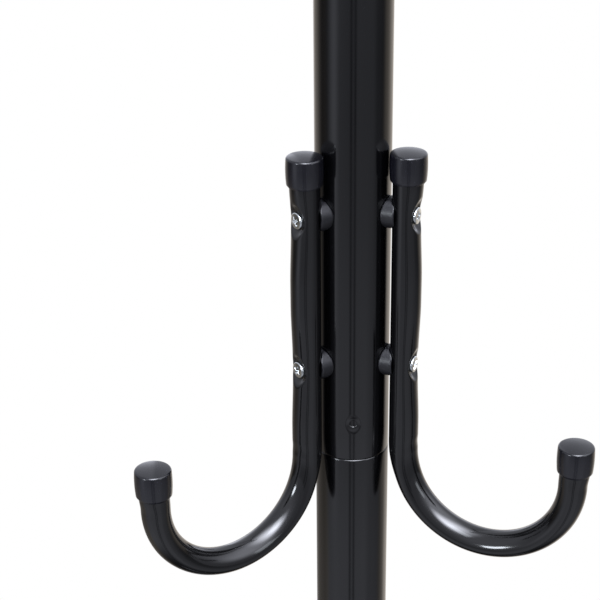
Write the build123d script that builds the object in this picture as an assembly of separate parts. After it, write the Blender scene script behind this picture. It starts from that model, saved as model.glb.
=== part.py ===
from build123d import *
import math
import os

# Standing coat rack in millimetres: +Z is up, and the origin is on the floor below the pole.
# Angles of hooks and crimps are measured from the front (-Y) towards the right (+X).

# Pole: two equal tube lengths below one that carries the hooks, joined by inner couplers
pole_diameter = 40.0
pole_wall = 1.2
section_length = 575.0
end_chamfer = 0.4
coupler_wall = 1.5
coupler_grip_length = 42.0
coupler_slip_length = 70.0
slip_clearance = 0.05

# Crimp: a punched dish with a deeper pit, above each seam
crimp_height = 22.3
crimp_angle = -5.0
crimp_dish_diameter = 9.8
crimp_dish_depth = 0.9
crimp_pit_diameter = 4.4
crimp_pit_depth = 1.6
crimp_pit_floor_diameter = 2.6
crimp_clearance = 0.05

# Hook: a J of tube whose outer wall flattens early in the bend and rounds out again towards the tip
hook_tube_diameter = 16.0
hook_tube_wall = 1.2
hook_standoff = 2.5
hook_bend_radius = 48.0
hook_bend_start = 3.0
hook_bend_flattening = 2.2
hook_bend_spread = 0.5
hook_press_ease = 5.0
hook_press_angle = 20.0
hook_relax_angle = 100.0
hook_relax_ease = 8.0
hook_bend_end_share = 0.4
hook_stem_top = 173.0
hook_tip_length = 22.5
press_steps = 6
relax_steps = 8
tip_steps = 2

# Tiers: three hooks each, and a second tier turned between the hooks of the first
tier_spacing = 380.0
top_screw_below_plug = 34.0

# Hook screws, their pressed dents and the nuts in the pole wall
screw_low_height = 56.0
screw_high_height = 141.0
screw_diameter = 4.0
screw_head_diameter = 9.0
screw_head_height = 2.3
screw_head_rounding = 1.6
screw_length = 27.0
screw_hole_clearance = 0.2
dent_length = 19.0
dent_depth = 5.0
dent_rim_radius = 1.5
nut_body_diameter = 6.0
nut_head_diameter = 7.0
nut_head_height = 0.6
nut_bulge_diameter = 9.0
nut_bulge_length = 3.0
nut_length = 12.0
thread_clearance = 0.05

# Saddle spacers between pole and hook
spacer_diameter = 16.0
spacer_ear_reach = 3.5
seat_clearance = 0.05
nut_recess_clearance = 0.3

# Push-on caps of the hook ends
cap_wall = 1.8
cap_top_inset = 0.35
cap_foot_inset = 0.4
cap_belly_height = 10.0
cap_lip_wall = 0.8
cap_lip_height = 1.0
cap_end_thickness = 2.0
cap_length = 16.0
cap_edge_radius = 1.4

# Plugs in both ends of the pole
top_plug_dome_height = 9.0
top_plug_depth = 20.0
top_plug_wall = 2.0
foot_plug_height = 25.0

# Round base
base_diameter = 380.0
base_height = 30.0
base_rim_height = 20.0
base_corner_radius = 9.0
base_seat_diameter = 80.0
cover_wall = 1.2
cover_lip_width = 6.0
cover_lip_thickness = 1.0
plate_thickness = 1.5
plate_well_diameter = 64.0
plate_well_depth = 10.0
plate_well_draft = 5.0
fill_clearance = 0.4
pad_count = 6
pad_diameter = 24.0
pad_height = 5.0
pad_taper = 1.5
pad_inset = 30.0

# Bolt that holds pole and base together
bolt_diameter = 10.0
bolt_head_width = 16.0
bolt_head_height = 6.4
bolt_engagement = 20.0
washer_diameter = 36.0
washer_thickness = 2.5
bolt_hole_clearance = 0.5

# Worked out from the sizes above
pole_radius = pole_diameter / 2
pole_bore_radius = pole_radius - pole_wall
coupler_radius = pole_bore_radius - slip_clearance
hook_tube_radius = hook_tube_diameter / 2
hook_axis = pole_radius + hook_standoff + hook_tube_radius
tip_axis = hook_axis + 2 * hook_bend_radius
tip_top = hook_bend_start + hook_tip_length
screw_heights = {"high": screw_high_height, "low": screw_low_height}
screw_hole_radius = screw_diameter / 2 + screw_hole_clearance
dent_floor = hook_tube_radius - dent_depth
dent_radius = ((dent_length / 2) ** 2 + dent_depth**2) / (2 * dent_depth)
dent_centre = hook_axis + dent_floor + dent_radius
screw_seat = dent_centre - math.sqrt(dent_radius**2 - (screw_head_diameter / 2) ** 2)
lower_seam = base_height + section_length
upper_seam = lower_seam + section_length
upper_length = tier_spacing + screw_high_height + top_screw_below_plug + top_plug_depth
pole_top = upper_seam + upper_length
base_radius = base_diameter / 2
plate_bottom = pad_height
plate_top = plate_bottom + plate_thickness
plate_radius = base_radius - cover_wall - slip_clearance
well_radius = plate_well_diameter / 2
well_roof = plate_bottom + plate_well_depth
bolt_hole_radius = bolt_diameter / 2 + bolt_hole_clearance

upright = (Align.CENTER, Align.CENTER, Align.MIN)
parts = {}


def rod(radius, bottom, top):
    """Upright cylinder on the Z axis between two heights."""
    return Pos(0, 0, bottom) * Cylinder(radius, top - bottom, align=upright)


def tube(radius, wall, bottom, top):
    """Upright tube on the Z axis between two heights."""
    return rod(radius, bottom, top) - rod(radius - wall, bottom, top)


def radial_rod(radius, near, far, height=0.0):
    """Cylinder along +X between two distances from the Z axis."""
    return Pos(near, 0, height) * Rot(0, 90, 0) * Cylinder(radius, far - near, align=upright)


def radial_cone(near_radius, far_radius, near, far):
    """Cone frustum along +X between two distances from the Z axis."""
    return Pos(near, 0, 0) * Rot(0, 90, 0) * Cone(near_radius, far_radius, far - near, align=upright)


def facing(angle, height=0.0):
    """Place for a piece modelled along +X, turned to an angle from the front."""
    return Pos(0, 0, height) * Rot(0, 0, angle - 90)


def crimp_punch(inset):
    """Form of the crimp punch in the pole wall, grown by inset on its inner side."""
    dish_floor = pole_radius - crimp_dish_depth
    pit_floor = dish_floor - crimp_pit_depth
    dish_radius = crimp_dish_diameter / 2
    pit_radius = crimp_pit_diameter / 2
    floor_radius = crimp_pit_floor_diameter / 2
    dish = radial_cone(pit_radius + inset, dish_radius + inset, dish_floor - inset, pole_radius)
    pit = radial_cone(floor_radius + inset, pit_radius + inset, pit_floor - inset, dish_floor - inset)
    return dish + pit


def pole_section(bottom, top, crimped):
    """One pole length, with chamfered ends and, above a seam, its crimp."""
    section = tube(pole_radius, pole_wall, bottom, top)
    rims = section.edges().filter_by(GeomType.CIRCLE).filter_by(lambda edge: edge.radius > pole_bore_radius)
    section = chamfer(rims, end_chamfer)
    if not crimped:
        return section
    place = facing(crimp_angle, bottom + crimp_height)
    pressed_wall = place * crimp_punch(pole_wall) & rod(pole_radius, bottom, top)
    return section + pressed_wall - place * crimp_punch(0)


def coupler(seam):
    """Inner tube of a seam, with the hole that takes the crimp."""
    sleeve = tube(coupler_radius, coupler_wall, seam - coupler_slip_length, seam + coupler_grip_length)
    return sleeve - facing(crimp_angle, seam + crimp_height) * crimp_punch(pole_wall + crimp_clearance)


def smooth(way):
    """Share from 0 to 1 that starts and ends gently."""
    return way * way * (3 - 2 * way)


def hook_section(angle, above, share, inset):
    """Section of the hook tube at an angle of its bend, or above it: round at share 0, flat at share 1."""
    thickness = hook_tube_radius - share * hook_bend_flattening / 2 - inset
    spread = hook_tube_radius + share * hook_bend_spread - inset
    reach = hook_bend_radius - share * hook_bend_flattening / 2
    bend_centre = Pos(hook_axis + hook_bend_radius, 0, hook_bend_start)
    return bend_centre * Rot(0, -angle, 0) * Pos(-reach, 0, above) * Rot(0, 0, 90) * Ellipse(spread, thickness)


def pressed_sections(inset):
    """Sections from the round stem to the flattened bend."""
    press_arc = hook_bend_radius * math.radians(hook_press_angle)
    sections = []
    for step in range(press_steps + 1):
        way = step / press_steps
        past = way * (hook_press_ease + press_arc) - hook_press_ease
        angle = math.degrees(max(past, 0) / hook_bend_radius)
        sections.append(hook_section(angle, max(-past, 0), smooth(way), inset))
    return sections


def relaxed_sections(inset):
    """Sections from the flattened bend to the round tip."""
    sections = []
    for step in range(relax_steps + 1):
        way = step / relax_steps
        angle = hook_relax_angle + way * (180 - hook_relax_angle)
        sections.append(hook_section(angle, 0, 1 - (1 - hook_bend_end_share) * smooth(way), inset))
    for step in range(1, tip_steps + 1):
        way = step / tip_steps
        sections.append(hook_section(180, -way * hook_relax_ease, hook_bend_end_share * (1 - smooth(way)), inset))
    return sections


def hook_rod(inset):
    """Solid of the whole J, smaller than the tube's outside by inset."""
    bend_axis = Axis((hook_axis + hook_bend_radius, 0, hook_bend_start), (0, -1, 0))
    radius = hook_tube_radius - inset
    body = Pos(hook_axis, 0, 0) * rod(radius, hook_bend_start + hook_press_ease, hook_stem_top)
    body += loft(pressed_sections(inset))
    body += revolve(hook_section(hook_press_angle, 0, 1, inset), bend_axis, hook_relax_angle - hook_press_angle)
    body += loft(relaxed_sections(inset))
    return body + Pos(tip_axis, 0, 0) * rod(radius, hook_bend_start + hook_relax_ease, tip_top)


def hook():
    """J-hook of tube, open at both ends, with a dent and two holes for each screw."""
    outside = hook_rod(0)
    inside = hook_rod(hook_tube_wall)
    for height in screw_heights.values():
        dent = Pos(dent_centre, 0, height) * Sphere(dent_radius)
        dented = outside - dent
        outside = fillet(new_edges(outside, dent, combined=dented), dent_rim_radius)
        inside -= Pos(dent_centre, 0, height) * Sphere(dent_radius + hook_tube_wall)
    body = outside - inside
    for height in screw_heights.values():
        body -= radial_rod(screw_hole_radius, pole_radius, dent_centre, height)
    return body


def cap(axis, tube_top):
    """Push-on cap over a tube end: barrel-shaped wall, thin tapered lip, rounded top edge."""
    top = tube_top + cap_end_thickness
    bottom = top - cap_length
    belly = hook_tube_radius + cap_wall
    lip = (hook_tube_radius + cap_lip_wall, bottom)
    foot = (belly - cap_foot_inset, bottom + cap_lip_height)
    rim = (belly - cap_top_inset, top)
    outline = Polyline((0, top), (0, bottom), lip, foot)
    outline += ThreePointArc(foot, (belly, bottom + cap_belly_height), rim)
    outline += Line(rim, (0, top))
    face = make_face(outline)
    face = fillet(face.vertices().sort_by_distance(rim)[0], cap_edge_radius)
    shell = revolve(Plane.XZ * face, Axis.Z)
    shell -= rod(hook_tube_radius + seat_clearance, bottom, tube_top)
    return Pos(axis, 0, 0) * shell


def spacer(height):
    """Saddle spacer, hollowed to the pole on one end and to the hook tube on the other."""
    far = hook_axis - hook_tube_radius + spacer_ear_reach
    body = radial_rod(spacer_diameter / 2, 0, far, height)
    body -= rod(pole_radius + seat_clearance, 0, hook_stem_top)
    body -= Pos(hook_axis, 0, 0) * rod(hook_tube_radius + seat_clearance, 0, hook_stem_top)
    body -= radial_rod(screw_hole_radius, 0, hook_axis, height)
    recess_end = pole_radius + nut_head_height + nut_recess_clearance
    return body - radial_rod(nut_head_diameter / 2 + nut_recess_clearance, 0, recess_end, height)


def hook_screw(height):
    """Pan-head screw from the dent of the hook into the nut."""
    shank = radial_rod(screw_diameter / 2, screw_seat - screw_length, screw_seat, height)
    head = radial_rod(screw_head_diameter / 2, screw_seat, screw_seat + screw_head_height, height)
    head = fillet(head.edges().sort_by(Axis.X)[-1], screw_head_rounding)
    return shank + head


def rivet_nut(height):
    """Rivet nut in the pole wall: head outside, bulge inside, both shaped by the wall."""
    head_end = pole_radius + nut_head_height
    below = height - nut_bulge_diameter
    above = height + nut_bulge_diameter
    wall = rod(pole_radius, below, above)
    bore = rod(pole_bore_radius, below, above)
    head = radial_rod(nut_head_diameter / 2, pole_bore_radius, head_end, height) - wall
    bulge_near = pole_bore_radius - nut_bulge_length
    bulge = radial_rod(nut_bulge_diameter / 2, bulge_near, pole_radius, height) & bore
    body = radial_rod(nut_body_diameter / 2, head_end - nut_length, head_end, height)
    return body + head + bulge - radial_rod(screw_diameter / 2 + thread_clearance, 0, head_end, height)


def base_form(radius, rim_height, top, bottom, corner):
    """Low round form: upright rim, rounded corner, slope up to a flat seat."""
    seat = (base_seat_diameter / 2, top)
    outline = Polyline((0, bottom), (radius, bottom), (radius, rim_height), seat, (0, top), close=True)
    face = make_face(outline)
    face = fillet(face.vertices().sort_by_distance((radius, rim_height))[0], corner)
    return revolve(Plane.XZ * face, Axis.Z)


def base_cover():
    """Spun cover, open below inside a narrow lip that carries the plate."""
    lip_bottom = plate_bottom - cover_lip_thickness
    cover = base_form(base_radius, base_rim_height, base_height, lip_bottom, base_corner_radius)
    cover -= base_form(
        base_radius - cover_wall,
        base_rim_height - cover_wall,
        base_height - cover_wall,
        plate_bottom,
        base_corner_radius - cover_wall,
    )
    cover -= rod(base_radius - cover_wall - cover_lip_width, lip_bottom, plate_bottom)
    return cover - rod(bolt_hole_radius, lip_bottom, base_height)


def well_form(grown):
    """Frustum of the well in the middle of the plate, grown by a wall."""
    height = plate_well_depth + grown
    low_radius = well_radius + grown
    return Pos(0, 0, plate_bottom) * Cone(low_radius, low_radius - plate_well_draft, height, align=upright)


def base_plate():
    """Bottom plate, pressed up in the middle to hide the bolt head."""
    plate = rod(plate_radius, plate_bottom, plate_top) + well_form(plate_thickness)
    return plate - well_form(0) - rod(bolt_hole_radius, plate_bottom, base_height)


def base_weight():
    """Cast weight that fills the cover above the plate."""
    inset = cover_wall + fill_clearance
    weight = base_form(
        base_radius - inset,
        base_rim_height - inset,
        base_height - cover_wall,
        plate_top,
        base_corner_radius - cover_wall,
    )
    return weight - well_form(plate_thickness) - rod(bolt_hole_radius, plate_bottom, base_height)


def base_pads():
    """Rubber pads under the plate."""
    pad = Cone(pad_diameter / 2 - pad_taper, pad_diameter / 2, pad_height, align=upright)
    ring_radius = base_radius - pad_inset
    return [place * pad for place in PolarLocations(ring_radius, pad_count)]


def base_bolt():
    """Hex bolt from the well up into the foot plug."""
    head_top = well_roof - washer_thickness
    head = extrude(RegularPolygon(bolt_head_width / 2, 6, major_radius=False), bolt_head_height)
    head = Pos(0, 0, head_top - bolt_head_height) * head
    return head + rod(bolt_diameter / 2, head_top, base_height + bolt_engagement)


def base_washer():
    """Washer between bolt head and plate."""
    return tube(
        washer_diameter / 2,
        washer_diameter / 2 - bolt_hole_radius,
        well_roof - washer_thickness,
        well_roof,
    )


def foot_plug():
    """Threaded plug in the foot of the pole."""
    plug = rod(pole_bore_radius - slip_clearance, base_height, base_height + foot_plug_height)
    return plug - rod(bolt_diameter / 2 + thread_clearance, base_height, base_height + foot_plug_height)


def top_plug():
    """Domed plug in the top of the pole, hollow below."""
    dome_radius = (pole_radius**2 + top_plug_dome_height**2) / (2 * top_plug_dome_height)
    dome_centre = pole_top + top_plug_dome_height - dome_radius
    ball = Pos(0, 0, dome_centre) * Sphere(dome_radius)
    dome = rod(pole_radius, pole_top, pole_top + top_plug_dome_height) & ball
    skirt = tube(pole_bore_radius - slip_clearance, top_plug_wall, pole_top - top_plug_depth, pole_top)
    return dome + skirt


parts["base_cover"] = base_cover()
parts["base_weight"] = base_weight()
parts["base_plate"] = base_plate()
parts["base_pads"] = Compound(base_pads())
parts["base_bolt"] = base_bolt()
parts["base_washer"] = base_washer()
parts["pole_foot_plug"] = foot_plug()
parts["pole_lower"] = pole_section(base_height, lower_seam, False)
parts["pole_middle"] = pole_section(lower_seam, upper_seam, True)
parts["pole_top_plug"] = top_plug()
parts["coupler_lower"] = coupler(lower_seam)
parts["coupler_upper"] = coupler(upper_seam)

tiers = {
    "low": (upper_seam, {"left": -60.0, "right": 60.0, "rear": 180.0}),
    "top": (upper_seam + tier_spacing, {"front": 0.0, "rear_right": 120.0, "rear_left": -120.0}),
}
pole_upper = pole_section(upper_seam, pole_top, True)
hook_model = hook()
stem_cap_model = cap(hook_axis, hook_stem_top)
tip_cap_model = cap(tip_axis, tip_top)
for tier, (tier_height, sides) in tiers.items():
    screws = []
    nuts = []
    for side, angle in sides.items():
        place = facing(angle, tier_height)
        parts[f"hook_{tier}_{side}"] = place * hook_model
        parts[f"stem_cap_{tier}_{side}"] = place * stem_cap_model
        parts[f"tip_cap_{tier}_{side}"] = place * tip_cap_model
        for level, height in screw_heights.items():
            parts[f"spacer_{level}_{tier}_{side}"] = place * spacer(height)
            screws.append(place * hook_screw(height))
            nuts.append(place * rivet_nut(height))
            pole_upper -= place * radial_rod(nut_body_diameter / 2, 0, hook_axis, height)
    parts[f"hook_screws_{tier}"] = Compound(screws)
    parts[f"rivet_nuts_{tier}"] = Compound(nuts)
parts["pole_upper"] = pole_upper

os.makedirs("parts", exist_ok=True)
for name, shape in parts.items():
    export_step(shape, f"parts/{name}.step")
print(len(parts), "parts, height", pole_top + top_plug_dome_height)
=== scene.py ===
import bpy
import math
from mathutils import Matrix, Vector


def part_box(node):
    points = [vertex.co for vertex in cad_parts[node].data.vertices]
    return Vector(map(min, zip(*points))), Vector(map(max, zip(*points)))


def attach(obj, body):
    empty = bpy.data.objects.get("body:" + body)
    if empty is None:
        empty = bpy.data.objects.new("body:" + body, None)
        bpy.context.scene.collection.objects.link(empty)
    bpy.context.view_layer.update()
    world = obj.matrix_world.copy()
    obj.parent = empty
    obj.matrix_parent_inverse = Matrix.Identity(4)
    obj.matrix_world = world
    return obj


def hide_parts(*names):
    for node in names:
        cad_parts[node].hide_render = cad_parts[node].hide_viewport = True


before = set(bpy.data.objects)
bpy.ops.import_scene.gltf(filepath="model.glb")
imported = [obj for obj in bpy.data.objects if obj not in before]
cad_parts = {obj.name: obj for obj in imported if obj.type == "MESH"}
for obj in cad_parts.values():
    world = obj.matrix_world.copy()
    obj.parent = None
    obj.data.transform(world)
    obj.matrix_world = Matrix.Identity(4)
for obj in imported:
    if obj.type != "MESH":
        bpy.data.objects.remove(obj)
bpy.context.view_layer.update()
print("frame loaded with", len(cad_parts), "nodes")

# Standing coat rack, metres, +Z up. The hooks are modelled along +X and then turned to their places.
tiers = {
    "low": ["left", "right", "rear"],
    "top": ["front", "rear_right", "rear_left"],
}
closeBy = 0.000001  # points nearer than this are one


def deselectAll():
    if bpy.context.mode != "OBJECT":
        bpy.ops.object.mode_set(mode="OBJECT")
    bpy.ops.object.select_all(action="DESELECT")


def pickPiece(piece):
    deselectAll()
    piece.select_set(True)
    bpy.context.view_layer.objects.active = piece


# a bare ring, left in edit mode with its edge selected
def startRing(name, sides, radius, place):
    deselectAll()
    bpy.ops.mesh.primitive_circle_add(vertices=sides, radius=radius, location=place)
    piece = bpy.context.object
    piece.name = name
    bpy.ops.object.transform_apply(location=True, rotation=True, scale=True)
    bpy.ops.object.mode_set(mode="EDIT")
    bpy.ops.mesh.select_all(action="SELECT")
    return piece


# extrudes the selected ring along Z and scales it about the Z axis
def growRing(rise, scale=1.0):
    bpy.ops.mesh.extrude_region_move(TRANSFORM_OT_translate={"value": (0, 0, rise)})
    if scale != 1:
        bpy.ops.transform.resize(value=(scale, scale, 1), center_override=(0, 0, 0))


# turned piece: the outline is a list of (radius, height), and a closed one ends where it starts
def turnPiece(name, sides, outline):
    radius, height = outline[0]
    piece = startRing(name, sides, radius, (0, 0, height))
    for nextRadius, nextHeight in outline[1:]:
        growRing(nextHeight - height, nextRadius / radius)
        radius, height = nextRadius, nextHeight
    return piece


def shadePiece(piece, smoothAngle):
    pickPiece(piece)
    bpy.ops.object.shade_smooth_by_angle(angle=math.radians(smoothAngle))


# merges doubles, closes what is open and turns the faces outwards
def closePiece(piece, smoothAngle):
    bpy.ops.mesh.select_all(action="SELECT")
    bpy.ops.mesh.remove_doubles(threshold=closeBy)
    bpy.ops.mesh.fill_holes(sides=0)
    bpy.ops.mesh.select_all(action="SELECT")
    bpy.ops.mesh.normals_make_consistent(inside=False)
    shadePiece(piece, smoothAngle)


def applyModifiers(piece):
    pickPiece(piece)
    for modifier in list(piece.modifiers):
        bpy.ops.object.modifier_apply(modifier=modifier.name)


# a copy with its own mesh, rolled about X, turned about Z and moved, with that place applied
def placeCopy(master, name, turn, place, roll=0.0):
    pickPiece(master)
    bpy.ops.object.duplicate(linked=False)
    copy = bpy.context.object
    copy.name = name
    copy.rotation_euler = (roll, 0, turn)
    copy.location = place
    bpy.ops.object.transform_apply(location=True, rotation=True, scale=True)
    return copy


def joinPieces(pieces, name):
    deselectAll()
    for piece in pieces:
        piece.select_set(True)
    bpy.context.view_layer.objects.active = pieces[0]
    bpy.ops.object.join()
    pieces[0].name = name
    return pieces[0]


def dropPiece(piece):
    bpy.data.objects.remove(piece)


# finish, body and the solids that a piece stands for
def dress(piece, material, body, slot, *nodes):
    piece.data.materials.clear()
    piece.data.materials.append(material)
    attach(piece, body)
    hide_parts(*nodes)


def arcPoints(centre, radius, start, end, steps):
    points = []
    for step in range(steps + 1):
        angle = math.radians(start + (end - start) * step / steps)
        points.append((centre[0] + radius * math.cos(angle), centre[1] + radius * math.sin(angle)))
    return points


def smoothStep(way):
    way = min(max(way, 0.0), 1.0)
    return way * way * (3 - 2 * way)


# the smaller of two values, with the corner between them rounded
def smoothMin(first, second, ease):
    overlap = max(ease - abs(first - second), 0.0) / ease
    return min(first, second) - overlap * overlap * ease / 4


def steps(start, end, count):
    return [start + (end - start) * step / count for step in range(1, count + 1)]


# materials
noiseRange = {"From Min": 0.3, "From Max": 0.7}  # where most of a noise pattern's values lie


def linearColour(hexText):
    parts = [int(hexText[i:i + 2], 16) / 255 for i in (1, 3, 5)]
    linear = [p / 12.92 if p <= 0.04045 else ((p + 0.055) / 1.055) ** 2.4 for p in parts]
    return (*linear, 1.0)


# one node with its settings: a key that names or numbers a socket sets it, stops fill a ramp, and any other
# key is a property
def addNode(tree, kind, settings=None, links=None):
    node = tree.nodes.new(kind)
    for key, value in (settings or {}).items():
        if key == "stops":
            for place, level in value:
                stop = node.color_ramp.elements.new(place)
                stop.color = (level, level, level, 1.0)
            node.color_ramp.elements.remove(node.color_ramp.elements[0])
            node.color_ramp.elements.remove(node.color_ramp.elements[-1])
            node.color_ramp.interpolation = "EASE"
        elif isinstance(key, int) or key in node.inputs:
            node.inputs[key].default_value = value
        else:
            setattr(node, key, value)
    for key, source in (links or {}).items():
        tree.links.new(source, node.inputs[key])
    return node


def newMaterial(name):
    material = bpy.data.materials.new(name)
    material.use_nodes = True
    material.node_tree.nodes.clear()
    return material, material.node_tree


def perMillimetre(size):
    return 1000.0 / size


# Gloss black stoving enamel on steel tube: deep black, mirror-like, with a faint orange peel
def stovedEnamel():
    look = dict(deep="#08080a", worn="#0d0d10", glossy=0.10, dull=0.15, ior=1.55,
                peelSize=2.4, peelDetail=1.5, peelHeight=0.000003, peelStrength=0.35,
                driftSize=60.0, driftDetail=3.0)
    material, tree = newMaterial("stovedEnamelBlack")
    place = addNode(tree, "ShaderNodeTexCoord").outputs["Object"]
    peel = addNode(tree, "ShaderNodeTexNoise",
                   {"Scale": perMillimetre(look["peelSize"]), "Detail": look["peelDetail"]},
                   {"Vector": place})
    drift = addNode(tree, "ShaderNodeTexNoise",
                    {"Scale": perMillimetre(look["driftSize"]), "Detail": look["driftDetail"]},
                    {"Vector": place})
    gloss = addNode(tree, "ShaderNodeMapRange",
                    {**noiseRange, "To Min": look["glossy"], "To Max": look["dull"]},
                    {"Value": drift.outputs["Fac"]})
    tone = addNode(tree, "ShaderNodeMix", {"data_type": "RGBA", "A": linearColour(look["deep"]),
                                           "B": linearColour(look["worn"])}, {"Factor": drift.outputs["Fac"]})
    bump = addNode(tree, "ShaderNodeBump", {"Strength": look["peelStrength"], "Distance": look["peelHeight"]},
                   {"Height": peel.outputs["Fac"]})
    shader = addNode(tree, "ShaderNodeBsdfPrincipled", {"IOR": look["ior"]},
                     {"Base Color": tone.outputs["Result"], "Roughness": gloss.outputs["Result"],
                      "Normal": bump.outputs["Normal"]})
    addNode(tree, "ShaderNodeOutputMaterial", None, {"Surface": shader.outputs["BSDF"]})
    return material


# Dip-moulded black vinyl of the push-on caps: satin, a little paler than the enamel, slightly uneven
def dippedVinyl():
    look = dict(deep="#121219", pale="#1a1a24", glossy=0.14, dull=0.22, ior=1.53,
                unevenSize=5.0, unevenDetail=2.0, unevenHeight=0.00004, unevenStrength=0.4,
                grainSize=0.5, grainDetail=2.0)
    material, tree = newMaterial("dippedVinylBlack")
    place = addNode(tree, "ShaderNodeTexCoord").outputs["Object"]
    uneven = addNode(tree, "ShaderNodeTexNoise",
                     {"Scale": perMillimetre(look["unevenSize"]), "Detail": look["unevenDetail"]},
                     {"Vector": place})
    grain = addNode(tree, "ShaderNodeTexNoise",
                    {"Scale": perMillimetre(look["grainSize"]), "Detail": look["grainDetail"]},
                    {"Vector": place})
    satin = addNode(tree, "ShaderNodeMapRange",
                    {**noiseRange, "To Min": look["glossy"], "To Max": look["dull"]},
                    {"Value": grain.outputs["Fac"]})
    tone = addNode(tree, "ShaderNodeMix", {"data_type": "RGBA", "A": linearColour(look["deep"]),
                                           "B": linearColour(look["pale"])}, {"Factor": grain.outputs["Fac"]})
    bump = addNode(tree, "ShaderNodeBump",
                   {"Strength": look["unevenStrength"], "Distance": look["unevenHeight"]},
                   {"Height": uneven.outputs["Fac"]})
    shader = addNode(tree, "ShaderNodeBsdfPrincipled", {"IOR": look["ior"]},
                     {"Base Color": tone.outputs["Result"], "Roughness": satin.outputs["Result"],
                      "Normal": bump.outputs["Normal"]})
    addNode(tree, "ShaderNodeOutputMaterial", None, {"Surface": shader.outputs["BSDF"]})
    return material


# Injection-moulded black polypropylene of the spacers and the top plug: satin with a fine spark-eroded grain
def mouldedPolypropylene():
    look = dict(deep="#16161a", pale="#202025", glossy=0.34, dull=0.44, ior=1.49,
                grainSize=0.35, grainDetail=2.0, grainHeight=0.00001, grainStrength=0.5)
    material, tree = newMaterial("mouldedPolypropyleneBlack")
    place = addNode(tree, "ShaderNodeTexCoord").outputs["Object"]
    grain = addNode(tree, "ShaderNodeTexNoise",
                    {"Scale": perMillimetre(look["grainSize"]), "Detail": look["grainDetail"]},
                    {"Vector": place})
    satin = addNode(tree, "ShaderNodeMapRange",
                    {**noiseRange, "To Min": look["glossy"], "To Max": look["dull"]},
                    {"Value": grain.outputs["Fac"]})
    tone = addNode(tree, "ShaderNodeMix", {"data_type": "RGBA", "A": linearColour(look["deep"]),
                                           "B": linearColour(look["pale"])}, {"Factor": grain.outputs["Fac"]})
    bump = addNode(tree, "ShaderNodeBump",
                   {"Strength": look["grainStrength"], "Distance": look["grainHeight"]},
                   {"Height": grain.outputs["Fac"]})
    shader = addNode(tree, "ShaderNodeBsdfPrincipled", {"IOR": look["ior"]},
                     {"Base Color": tone.outputs["Result"], "Roughness": satin.outputs["Result"],
                      "Normal": bump.outputs["Normal"]})
    addNode(tree, "ShaderNodeOutputMaterial", None, {"Surface": shader.outputs["BSDF"]})
    return material


# Bright zinc plating on steel screws and nuts: pale blue-white metal with a soft cloudy gloss
def brightZinc():
    look = dict(pale="#d3d6d6", dark="#b3b7b8", glossy=0.12, dull=0.22, cloudSize=1.2, cloudDetail=3.0)
    material, tree = newMaterial("brightZincSteel")
    place = addNode(tree, "ShaderNodeTexCoord").outputs["Object"]
    cloud = addNode(tree, "ShaderNodeTexNoise",
                    {"Scale": perMillimetre(look["cloudSize"]), "Detail": look["cloudDetail"]},
                    {"Vector": place})
    gloss = addNode(tree, "ShaderNodeMapRange",
                    {**noiseRange, "To Min": look["glossy"], "To Max": look["dull"]},
                    {"Value": cloud.outputs["Fac"]})
    tone = addNode(tree, "ShaderNodeMix", {"data_type": "RGBA", "A": linearColour(look["pale"]),
                                           "B": linearColour(look["dark"])}, {"Factor": cloud.outputs["Fac"]})
    shader = addNode(tree, "ShaderNodeBsdfPrincipled", {"Metallic": 1.0},
                     {"Base Color": tone.outputs["Result"], "Roughness": gloss.outputs["Result"]})
    addNode(tree, "ShaderNodeOutputMaterial", None, {"Surface": shader.outputs["BSDF"]})
    return material


# Bare drawn steel of the couplers: mid-grey metal with fine lines along the tube and a film of oil
def drawnSteel():
    look = dict(pale="#a4a6a8", dark="#7c7e80", glossy=0.28, dull=0.42, lineSize=0.6, lineLength=40.0,
                lineDetail=3.0)
    material, tree = newMaterial("drawnSteelBare")
    place = addNode(tree, "ShaderNodeTexCoord").outputs["Object"]
    fine = perMillimetre(look["lineSize"])
    along = perMillimetre(look["lineLength"])
    mapped = addNode(tree, "ShaderNodeMapping", {"Scale": (fine, fine, along)}, {"Vector": place})
    line = addNode(tree, "ShaderNodeTexNoise", {"Scale": 1.0, "Detail": look["lineDetail"]},
                   {"Vector": mapped.outputs["Vector"]})
    gloss = addNode(tree, "ShaderNodeMapRange",
                    {**noiseRange, "To Min": look["glossy"], "To Max": look["dull"]},
                    {"Value": line.outputs["Fac"]})
    tone = addNode(tree, "ShaderNodeMix", {"data_type": "RGBA", "A": linearColour(look["pale"]),
                                           "B": linearColour(look["dark"])}, {"Factor": line.outputs["Fac"]})
    shader = addNode(tree, "ShaderNodeBsdfPrincipled", {"Metallic": 1.0},
                     {"Base Color": tone.outputs["Result"], "Roughness": gloss.outputs["Result"]})
    addNode(tree, "ShaderNodeOutputMaterial", None, {"Surface": shader.outputs["BSDF"]})
    return material


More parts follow.
